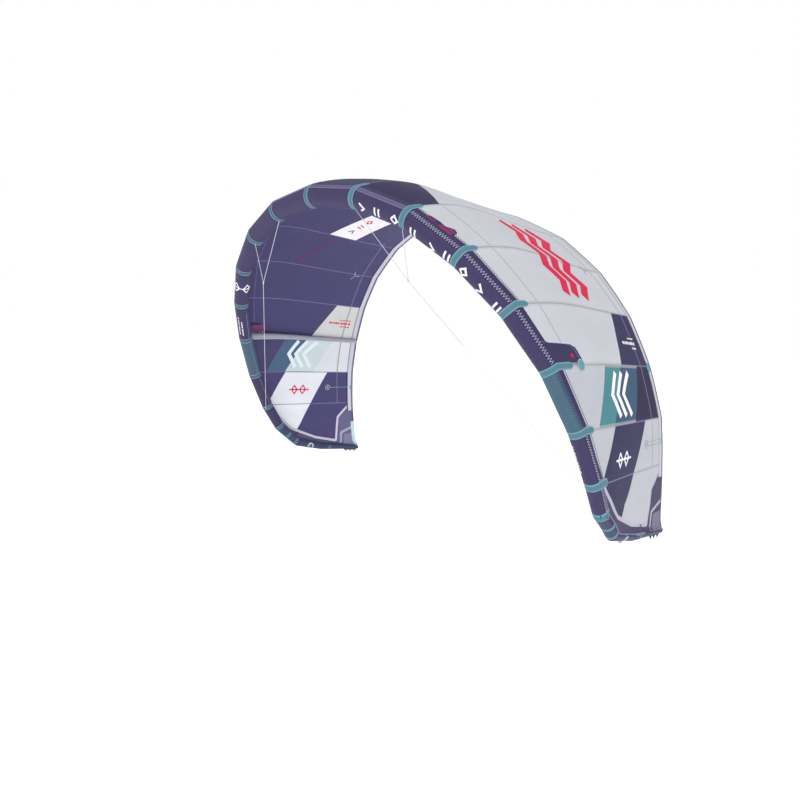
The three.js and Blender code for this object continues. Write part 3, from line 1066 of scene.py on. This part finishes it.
# How finely the tube is divided, and its rounded ends: how far each ring lies beyond the tip, and its
# size.
TUBE_SIDES = 64
TUBE_STEP = 0.02
TUBE_END = [(0.004, 0.93), (0.009, 0.76), (0.013, 0.45)]
TUBE_END_FROM_SEAM = 0.05


def make_tube(material):
    """The whole leading edge tube from tip to tip, denser near its seams and rounded at its ends."""
    places = []
    for i in range(TIP):
        count = max(4, 2 * round(cut_length[i] / TUBE_STEP / 2))
        for n in range(count):
            denser = 0.5 - 0.5 * math.cos(math.pi * n / count)
            places.append(i + 0.5 * n / count + 0.5 * denser)
    spans = both_wings(places)
    turns = [2 * math.pi * n / TUBE_SIDES for n in range(TUBE_SIDES)]
    sections = [[tube_point(s, turn) for turn in turns] for s in spans]
    values = [[(s, math.degrees(turn), seam_distance(s)) for turn in turns] for s in spans]
    for distance, size in TUBE_END:
        for end, where in ((-TIP, 0), (TIP, len(sections))):
            middle = on_side(le[TIP], end)
            direction = on_side(stretch[TIP - 1], end)
            ring = [middle + direction * distance + (tube_point(end, turn) - middle) * size for turn in turns]
            sections.insert(where, ring)
            values.insert(where, [(float(end), math.degrees(turn), TUBE_END_FROM_SEAM) for turn in turns])
    made = lofted("leading_edge", sections, material, [value for row in values for value in row])
    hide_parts(*solids_of("leading_edge", TIP_START))


# The struts: station, names, and diameters in front, further back and at the end. Then the chord's shares
# for the last two, the gaps to the rib and the tube, how finely they are divided, and their rounded ends.
STRUTS = [
    (0, ["strut_center"], (0.084, 0.072, 0.044)),
    (SIDE_STRUT, ["strut_right", "strut_left"], (0.066, 0.058, 0.038)),
]
STRUT_MIDDLE = 0.3
STRUT_END = 0.985
STRUT_UNDER_RIB = 0.0016
STRUT_OFF_TUBE = 0.0012
STRUT_SEARCH = 0.0015
STRUT_SIDES = 32
STRUT_STEPS = 48
STRUT_ROUNDING = [(0.004, 0.94), (0.008, 0.8), (0.011, 0.5)]


def strut_radius(t, front, middle, end):
    if t < STRUT_MIDDLE:
        return (front + (middle - front) * t / STRUT_MIDDLE) / 2
    return (middle + (end - middle) * (t - STRUT_MIDDLE) / (1 - STRUT_MIDDLE)) / 2


def strut_frame(station, t, sizes):
    """The middle of a strut's section, its sideways and upward directions and its radius."""
    point = bezier(ribs[station], t)
    along = slope(ribs[station], t).normalized()
    inner = mirrored(bezier(ribs[1], t)) if station == 0 else bezier(ribs[station - 1], t)
    outer = bezier(ribs[station + 1], t)
    before = square_to(along, point - inner)
    after = square_to(along, outer - point)
    side = (before + after).normalized()
    up = side.cross(along)
    r = strut_radius(t, *sizes)
    drop = (r + STRUT_UNDER_RIB) / math.cos(before.angle(after) / 2)
    return point - up * drop, side, up, r


def tube_clearance(station, point):
    """How far a point is outside the tube's surface near a station."""
    best = math.inf
    for k in (station, station + 1):
        a = mirrored(le[1]) if k == 0 else le[k - 1]
        ra = radius[1] if k == 0 else radius[k - 1]
        run = le[k] - a
        share = clamped((point - a).dot(run) / run.length_squared)
        best = min(best, (point - a.lerp(le[k], share)).length - (ra + (radius[k] - ra) * share))
    return best


def turned_degrees(turn):
    """An angle round the strut from its top, from -180 to 180 degrees."""
    return (math.degrees(turn) + 180) % 360 - 180


def make_struts(material):
    turns = [2 * math.pi * (n + 0.5) / STRUT_SIDES for n in range(STRUT_SIDES)]
    for station, names, sizes in STRUTS:

        def spot(turn, t):
            middle, side, up, r = strut_frame(station, t, sizes)
            return middle + side * (math.sin(turn) * r) + up * (math.cos(turn) * r)

        fronts = []
        for turn in turns:
            t = 0.0
            while tube_clearance(station, spot(turn, t)) < STRUT_OFF_TUBE:
                t += STRUT_SEARCH
            fronts.append(t)
        sections = []
        places = []
        for n in range(STRUT_STEPS + 1):
            ts = [front + (STRUT_END - front) * n / STRUT_STEPS for front in fronts]
            sections.append([spot(turn, t) for turn, t in zip(turns, ts)])
            places += [(t * chords[station], turned_degrees(turn), 0.0) for turn, t in zip(turns, ts)]
        last = sections[-1]
        middle = sum(last, Vector()) / STRUT_SIDES
        backward = slope(ribs[station], 1.0).normalized()
        for distance, size in STRUT_ROUNDING:
            sections.append([middle + backward * distance + (point - middle) * size for point in last])
            places += places[-STRUT_SIDES:]
        for name in names:
            side = -1 if name.endswith("left") else 1
            rings = [[on_side(p, side) for p in ring] for ring in sections]
            made = lofted(name + "_tube", rings, material, places)
            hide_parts(name)


# The seam bands: how far off the cloth, how thick and how wide they are, the metres that they run onto the
# canopy and the degrees of the tube at which they end inside. Then the tip bands and their stations.
BAND_LIFT = 0.0006
BAND_THICK = 0.0009
BAND_WIDTH = 0.044
BAND_ON_CANOPY = 0.095
BAND_ON_CANOPY_AT_STRUT = 0.15
BAND_ON_TIP = 0.014
BAND_END_ANGLE = 343
BAND_END_AT_STRUT = 322
TIP_BANDS = [9, 9.75, 10.45, 11.2]
TIP_BAND_WIDTH = 0.028
TIP_BAND_END_ANGLE = 300


def make_band(name, s, starts, end_angle, width, columns, taper, material):
    """A band from places in metres behind the tube round to an angle in degrees."""
    step = 0.008 if columns > 4 else 0.006
    cloth = Cloth()
    end = (leaves(s) - math.radians(end_angle)) * blended(radius, s)
    ribbon(cloth, skin, [(s, v) for v in (*starts, end)], width, BAND_LIFT, BAND_THICK, columns, step, taper)
    return cloth.made(name, material, "band")


def make_bands(material):
    for i in range(-TIP_START, TIP_START + 1):
        end_angle = BAND_END_AT_STRUT if abs(i) in (0, SIDE_STRUT) else BAND_END_ANGLE
        reach = {SIDE_STRUT: BAND_ON_CANOPY_AT_STRUT, TIP_START: BAND_ON_TIP}.get(abs(i), BAND_ON_CANOPY)
        name = "center" if i == 0 else f"{abs(i)}_{'left' if i < 0 else 'right'}"
        made = make_band(f"seam_band_{name}", i, [reach, 0.0], end_angle, BAND_WIDTH, 8, 0.03, material)
        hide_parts(f"band_{name}")
    for side, wing in SIDES:
        for k, s in enumerate(TIP_BANDS):
            name = f"tip_band_{k + 1}_{wing}"
            make_band(name, s * side, [0.008], TIP_BAND_END_ANGLE, TIP_BAND_WIDTH, 4, 0.01, material)


# The zigzags along the tube, narrower beyond the strut, and on the canopy behind it: width, period and
# thread.
ZIGZAG = (0.026, 0.019, 0.0032)
ZIGZAG_BEYOND = (0.026 * 0.6, 0.019, 0.0032)
EDGE_STITCH = (0.009, 0.016, 0.0028)
EDGE_STITCH_BEHIND = 0.044

# The tape by the centre: its width, how far its two seams are off its middle, and their width.
TAPE_WIDTH = 0.038
TAPE_SEAM = 0.013
TAPE_SEAM_WIDTH = 0.003
TIP_SEAM = [(7.1, 0.016), (8, 0.016), (11.3, 0.016)]
TIP_SEAM_WIDTH = 0.008
THREAD_RIBS = 0.003


def zigzag(cloth, side, start, end, middle, width, period, thread):
    """A zigzag stitch across the wing from one station share to another. middle gives its v at each s."""
    length = (tube_point(end, 2) - tube_point(start, 2)).length
    count = max(4, round(2 * length / period))
    stations = [start + (end - start) * n / count for n in range(count + 1)]
    route = [(side * s, middle(s) - width / 2 * (-1) ** n) for n, s in enumerate(stations)]
    ribbon(cloth, skin, route, thread, lift=0.0002, thickness=0.0006, step=0.011)


def on_flap(s):
    """The middle of the seam along the tube, in metres behind the line at which the canopy leaves it."""
    return -zigzag_angle(s) * blended(radius, s)


def make_stitching():
    """Zigzags along the tube and behind it, a sewn tape by the centre and the seam at the right tip."""
    tape, lines, light, dark = [Cloth() for _ in range(4)]
    for side, wing in SIDES:
        for i in (0, 1):
            route = [(side * (i + 0.03), on_flap(i)), (side * (i + 0.97), on_flap(i + 1))]
            ribbon(tape, skin, route, TAPE_WIDTH, lift=0.0002, columns=4, step=0.02)
            for off in (-TAPE_SEAM, TAPE_SEAM):
                ribbon(lines, skin, [(s, v + off) for s, v in route], TAPE_SEAM_WIDTH, lift=0.0008, step=0.02)
        for i in range(2, TIP_START):
            sizes = ZIGZAG if i <= SIDE_STRUT else ZIGZAG_BEYOND
            zigzag(dark if i == SIDE_STRUT else light, side, i + 0.07, i + 0.93, on_flap, *sizes)
        for i in (2, 3, 5, 6):
            zigzag(dark, side, i + 0.06, i + 0.94, lambda s: EDGE_STITCH_BEHIND, *EDGE_STITCH)
    ribbon(lines, skin, TIP_SEAM, TIP_SEAM_WIDTH, lift=0.0002, thickness=0.0006)
    tape.made("seam_tape_center", woven_material("seam_tape", "#625c82"), "tube_dark")
    lines.made("seam_lines_center", woven_material("thread_dim", "#857e9d", THREAD_RIBS), "canopy_dark")
    light.made("zigzag_light", woven_material("thread_light", "#a9a5c0", THREAD_RIBS), "canopy_light")
    dark.made("zigzag_dark", woven_material("thread_dark", "#3b3657", THREAD_RIBS), "tube_dark")


# Inks and patches lie this far off the cloth and are this thick. The round patches lie on the bands.
INK_LIFT = 0.0006
INK = 0.0003
ON_BAND = 0.0018


def drawn(cloth, surface, centre, turn, strokes, width):
    """Strokes of one width, in metres round a centre on a surface."""
    columns = max(2, round(width / 0.012))
    for stroke in strokes:
        ribbon(cloth, surface, placed(surface, centre, turn, stroke), width, INK_LIFT, INK, columns)


def dashes(start, end, count):
    """The strokes of a row of dashes from one place to another, every third of them shorter."""
    (x0, y0), (x1, y1) = start, end
    strokes = []
    for n in range(count):
        shares = [(n + 0.06) / count, (n + 0.80 - 0.22 * (n % 3 == 1)) / count]
        strokes.append([(x0 + (x1 - x0) * share, y0 + (y1 - y0) * share) for share in shares])
    return strokes


def circle(r, count=24):
    """The one stroke of a circle."""
    turns = [2 * math.pi * n / count for n in range(count + 1)]
    return [[(r * math.cos(turn), r * math.sin(turn)) for turn in turns]]


def disc(cloth, surface, centre, r, lift=INK_LIFT):
    route = placed(surface, centre, 0, [(-r, 0), (r, 0)])
    ribbon(cloth, surface, route, 2 * r, lift, INK, columns=6, step=r / 8, taper=r)


def oblong(cloth, surface, centre, left, right, half, steps=9, columns=6):
    """A patch between two edges that lie left and right of a centre and reach as far to both sides of it."""
    rows = []
    for n in range(steps + 1):
        y = half * (2 * n / steps - 1)
        row = [(left + (right - left) * c / columns, y) for c in range(columns + 1)]
        rows.append(placed(surface, centre, 0, row))
    if surface is inner_face:
        rows = [row[::-1] for row in rows]
    outer = [[surface(a, b, INK_LIFT + INK) for a, b in row] for row in rows]
    inner = [[surface(a, b, INK_LIFT) for a, b in row] for row in rows]
    place = [[(0.01 * n, c / columns, 0.1) for c in range(columns + 1)] for n in range(len(rows))]
    cloth.add(outer, inner, place=place)


# The prints' motifs, in metres: x across the wing and y aft on the canopy, x along and y round the tube.
NESTED_CHEVRONS = [[(-0.14, y + 0.05), (0.0, y - 0.05), (0.14, y + 0.05)] for y in (-0.09, 0.0, 0.09)]
DIAMONDS_ON_LINE = [
    *[[(-0.045, y), (0.0, y - 0.032), (0.045, y), (0.0, y + 0.032), (-0.045, y)] for y in (-0.048, 0.048)],
    [(0.0, -0.115), (0.0, 0.115)],
]
BIG_ZIGZAGS = [[(0.12 * n, y + 0.05 * (-1) ** n) for n in range(-3, 4)] for y in (-0.15, 0, 0.15)]
CHEVRON = [[(-0.020, -0.028), (0.020, 0.0), (-0.020, 0.028)]]
TWO_BARS = [[(-0.017, -0.028), (-0.017, 0.028)], [(0.017, -0.028), (0.017, 0.028)]]
DIAMOND = [[(-0.026, 0.0), (0.0, -0.026), (0.026, 0.0), (0.0, 0.026), (-0.026, 0.0)]]

# The inks: their colours and slots.
INKS = {
    "white": ("#f6f6fb", "canopy_light"),
    "red": ("#d81548", "canopy_light"),
    "dim": ("#7a3a67", "canopy_dark"),
    "faint": ("#69396b", "canopy_dark"),
    "pale": ("#e9f3fa", "canopy_light"),
}

# Each print on the canopy: its ink, face, centre, turn in degrees, strokes and their width.
CANOPY_PRINTS = [
    ("red", outer_face, (2.97, 0.665), 0, BIG_ZIGZAGS, 0.075),
    ("white", outer_face, (5.5, 0.59), 0, NESTED_CHEVRONS, 0.038),
    ("pale", inner_face, (-5.5, 0.60), 0, NESTED_CHEVRONS, 0.038),
    ("white", outer_face, (6.65, 0.44), 0, DIAMONDS_ON_LINE, 0.013),
    ("red", inner_face, (-6.55, 0.51), 0, DIAMONDS_ON_LINE, 0.012),
    ("red", inner_face, (-1.36, 0.763), 20, DIAMOND, 0.012),
    ("red", inner_face, (-1.56, 0.745), 20, TWO_BARS, 0.012),
    ("dim", inner_face, (-1.76, 0.725), 20, CHEVRON, 0.012),
]

# The rows of dashes by the struts' ends: metres across, where each starts, how many dashes and their
# width.
DASH_ROWS = [(-0.036, 0.02, 8, 0.011), (0.0, -0.10, 9, 0.021), (0.036, 0.05, 4, 0.013)]

# The marks along the right wing's tube, and the rows of dashes on both: station, degrees, and strokes or
# reach.
TUBE_MARKS = [(1.23, 214, CHEVRON), (1.53, 206, TWO_BARS), (1.87, 206, DIAMOND), (2.23, 212, TWO_BARS),
              (2.60, 218, CHEVRON), (2.87, 202, TWO_BARS), (3.20, 198, DIAMOND), (3.53, 198, CHEVRON),
              (3.87, 198, TWO_BARS)]
TUBE_DASHES = [(-4.55, 205, 0.10), (-4.62, 232, 0.08), (6.45, 212, 0.10), (6.5, 226, 0.07)]

# The faint row inside the left wing has this many marks.
FAINT_MARKS = 9


def make_prints():
    """Simple marks printed on the canopy and the tube."""
    cloths = {ink: Cloth() for ink in INKS}
    for ink, *rest in CANOPY_PRINTS:
        drawn(cloths[ink], *rest)
    disc(cloths["red"], outer_face, (4.85, 0.158), 0.013)
    for x, start, count, width in DASH_ROWS:
        outside = dashes((x, start - 0.02), (x, 0.10), count)
        inside = dashes((-x, start - 0.03), (-x, 0.13), count)
        drawn(cloths["white"], outer_face, (4.575, 0.885), 0, outside, width)
        drawn(cloths["red"], inner_face, (-4.525, 0.885), 0, inside, width)
    on_tube = [(s, angle, mark, 0.013) for s, angle, mark in TUBE_MARKS]
    on_tube.append((-3.45, 238, DIAMONDS_ON_LINE, 0.010))
    on_tube += [(s, angle, dashes((-reach, 0), (reach, 0), 9), 0.010) for s, angle, reach in TUBE_DASHES]
    for s, angle, strokes, width in on_tube:
        drawn(cloths["white"], tube_skin, (s, math.radians(angle)), 0, strokes, width)
    for n in range(FAINT_MARKS):
        share = n / (FAINT_MARKS - 1)
        mark = (CHEVRON, TWO_BARS, DIAMOND)[n % 3]
        centre = (-2.1 - 0.8 * share, 0.67 - 0.15 * share)
        drawn(cloths["faint"], inner_face, centre, 30, mark, 0.007 + 0.005 * share)
    for ink, (code, slot) in INKS.items():
        cloths[ink].made(f"prints_{ink}", print_material(f"ink_{ink}", code), slot)


def lifted_face(s, t, lift):
    return outer_face(s, t, lift + ON_BAND)


# The small patches: round ones at the struts' two ends, a star of three arms and a ring with lines behind
# it. Then the oblong ones: face, centre, left and right edge and half height in metres.
STRUT_FRONT_PATCH = (5.0, 0.200)
STRUT_END_PATCH = (5.02, 0.976)
STAR = (3.04, 0.89)
RING = (6.49, 0.82)
OBLONGS = [
    (inner_face, (-4.82, 0.155), -0.035, 0.035, 0.07),
    (inner_face, (-9.65, 0.717), -0.02, 0.02, 0.02),
    (inner_face, (-9.25, 0.133), -0.012, 0.012, 0.018),
    (outer_face, (10.375, 0.545), -0.01, 0.012, 0.014),
]


def make_patches():
    """Small sewn-on patches: by the struts' ends, at pulling points on the canopy, and labels inside."""
    teal, outline, gray, mauve = [Cloth() for _ in range(4)]
    for side, wing in SIDES:
        face, wire, star_width = (outer_face, gray, 0.010) if side > 0 else (inner_face, outline, 0.006)
        front, end, star, ring = [(side * s, t) for s, t in (STRUT_FRONT_PATCH, STRUT_END_PATCH, STAR, RING)]
        disc(teal, outer_face, front, 0.036, lift=ON_BAND)
        disc(teal, outer_face, end, 0.034, lift=ON_BAND)
        drawn(outline, lifted_face, front, 0, circle(0.033), 0.005)
        turns = [math.radians(90 + 120 * n) for n in range(3)]
        arms = [[(0, 0), (0.055 * math.cos(turn), 0.055 * math.sin(turn))] for turn in turns]
        drawn(wire, face, star, 0, arms, star_width)
        drawn(wire, face, ring, 0, circle(0.026), 0.007)
        disc(wire, face, ring, 0.010)
        lines = [[(0.0, 0.03), (0.0, 0.255)]]
        if side > 0:
            lines = [[(x, 0.024), (x, 0.235)] for x in (-0.014, 0.014)]
        drawn(wire, face, ring, 0, lines, 0.004)
        drawn(teal, face, (ring[0], 0.988), 0, [[(-0.022, 0.0), (0.022, 0.0)]], 0.022)
    for patch in OBLONGS:
        oblong(mauve, *patch)
    drawn(outline, inner_face, (-4.93, 0.155), 0, dashes((0, -0.07), (0, 0.07), 4), 0.016)
    teal.made("patches_teal", woven_material("patch_teal", "#5f9ba3"), "band")
    outline.made("patches_outline", woven_material("patch_outline", "#a9b6c6"), "canopy_light")
    gray.made("patches_gray", woven_material("patch_gray", "#9da3a6"), "canopy_light")
    mauve.made("patches_mauve", print_material("patch_mauve", "#7a4570"), "canopy_dark")


# The line tabs under the tips: the places of their foot lines between two stations, and their sizes. Then
# the webbing, and the loops of cord on the rear tab.
FRONT_TAB = (10, 0.5)
FRONT_TAB_SIZE = (0.046, 0.017)
FRONT_TAB_GAP = 0.002
REAR_TAB = (11, 0.81)
REAR_TAB_SIZE = (0.170, 0.010)
REAR_TAB_STEPS = 10
TAB_THICK = 0.0035
WEBBING = 0.011
LOOP_CORD = 0.005
LOOP_SIZE = (0.008, 0.010)
LOOPS_APART = 0.34

# The webbing that holds the front tab, in metres about a place over it and a place outside it, in degrees.
ARCH_ANGLE = 215
ARCH = [(-0.030, 0.004), (-0.028, 0.030), (-0.014, 0.045), (0.014, 0.045), (0.028, 0.030), (0.030, 0.004)]
ARCH_LEG_ANGLE = 145
ARCH_LEG = [(-0.018, 0.0), (0.012, -0.045)]
STRAP_SIDES = 12


def strap(name, wing_side, middles, across, width, thick, material):
    """A strip of webbing through middle points, with rounded edges, given for the right wing."""
    middles = [on_side(middle, wing_side) for middle in middles]
    across = on_side(across, wing_side)
    sections = []
    places = []
    run = 0.0
    for n, middle in enumerate(middles):
        forward = (middles[min(n + 1, len(middles) - 1)] - middles[max(n - 1, 0)]).normalized()
        side = square_to(forward, across)
        up = forward.cross(side)
        if n:
            run += (middle - middles[n - 1]).length
        ring = []
        for k in range(STRAP_SIDES):
            turn = 2 * math.pi * (k + 0.5) / STRAP_SIDES
            x, y = [math.copysign(abs(part) ** 0.5, part) for part in (math.cos(turn), math.sin(turn))]
            ring.append(middle + side * (x * width / 2) + up * (y * thick / 2))
            places.append((run, x, width))
        sections.append(ring)
    return lofted(name, sections, material, places)


def tab_frame(station, share):
    """The foot of a tab under the tube, with the directions along the tube, down and inward."""
    a, b = corner(station, math.pi), corner(station + 1, math.pi)
    along = (b - a).normalized()
    down = square_to(along, -frames[station + 1][1])
    return a.lerp(b, share), along, down, down.cross(along)


def bow(middle, along, down, wide, deep, degrees):
    """Points of an arc about a middle, wide along one direction and deep along the other."""
    turns = [math.radians(turn) for turn in degrees]
    return [middle + along * (math.cos(turn) * wide) + down * (math.sin(turn) * deep) for turn in turns]


def make_tabs(white, black):
    for side, wing in SIDES:
        foot, along, down, face = tab_frame(*FRONT_TAB)
        length, drop = FRONT_TAB_SIZE
        points = bow(foot + down * FRONT_TAB_GAP, along, down, length / 2 - TAB_THICK, drop - TAB_THICK,
                     range(0, 181, 12))
        made = strap(f"front_tab_{wing}", side, points, face, WEBBING, TAB_THICK, white)
        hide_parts(f"front_line_tab_{wing}")
        arch = Cloth()
        for angle, shape in ((ARCH_ANGLE, ARCH), (ARCH_LEG_ANGLE, ARCH_LEG)):
            route = placed(tube_skin, (sum(FRONT_TAB) * side, math.radians(angle)), 0, shape)
            ribbon(arch, tube_skin, route, 0.010, 0.0008, 0.0012, columns=2)
        arch.made(f"front_tab_arch_{wing}", white, "tab_white")

        foot, along, down, face = tab_frame(*REAR_TAB)
        length, drop = REAR_TAB_SIZE
        points = [foot + along * (length * (n / REAR_TAB_STEPS - 0.5)) + down * (drop / 2)
                  for n in range(REAR_TAB_STEPS + 1)]
        made = strap(f"rear_tab_{wing}", side, points, down, drop, TAB_THICK, black)
        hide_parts(f"rear_line_tab_{wing}")
        for k in range(3):
            middle = foot + along * (length * (k - 1) * LOOPS_APART) + down * (drop + LOOP_CORD)
            loop = bow(middle, along, down, *LOOP_SIZE, range(-60, 241, 20))
            strap(f"rear_tab_loop_{k + 1}_{wing}", side, loop, face, LOOP_CORD, LOOP_CORD, black)


FLOOR_HEIGHT = -3.2
FLOOR_SIZE = 160


def make_floor(material):
    place = (0, 0, FLOOR_HEIGHT)
    bpy.ops.mesh.primitive_grid_add(x_subdivisions=8, y_subdivisions=8, size=FLOOR_SIZE, location=place)
    floor = bpy.context.object
    floor.name = "floor"
    floor.data.materials.append(material)


WORLD_LIGHT = 0.72
WORLD_COLOUR = (0.97, 0.98, 1, 1)
SUN_LIGHT = 1.15
SUN_FROM = Vector((0.45, -0.5, 0.9))
SUN_SOFTNESS = 60


def make_light():
    """A white surround that lights less than it shows, and a wide soft sun from the front."""
    world = bpy.data.worlds.new("surround")
    bpy.context.scene.world = world
    world.use_nodes = True
    tree = world.node_tree
    white = tree.nodes["Background"]
    connect((1, 1, 1, 1), white.inputs["Color"])
    lighting = field(tree, "Background", {"Color": WORLD_COLOUR, "Strength": WORLD_LIGHT})
    seen = field(tree, "LightPath", {}, "Is Camera Ray")
    mix = field(tree, "MixShader", {0: seen, 1: lighting, 2: Field(tree, white.outputs[0])})
    connect(mix, tree.nodes["World Output"].inputs["Surface"])
    data = bpy.data.lights.new("sun", "SUN")
    data.energy = SUN_LIGHT
    data.angle = math.radians(SUN_SOFTNESS)
    sun = bpy.data.objects.new("sun", data)
    sun.location = SUN_FROM
    sun.rotation_euler = SUN_FROM.to_track_quat("Z", "Y").to_euler()
    bpy.context.scene.collection.objects.link(sun)
    bpy.context.scene.view_settings.view_transform = "Standard"


make_camera()
make_bridles(cord_material("bridle_cord", "#e1dfed"))
canopy = make_canopy(canopy_material())
make_tube(tube_material())
make_struts(strut_material())
make_bands(band_material())
make_stitching()
make_prints()
make_patches()
make_tabs(woven_material("webbing_white", "#e8e8f0"), woven_material("webbing_black", "#1d1b26"))
make_floor(floor_material())
make_light()
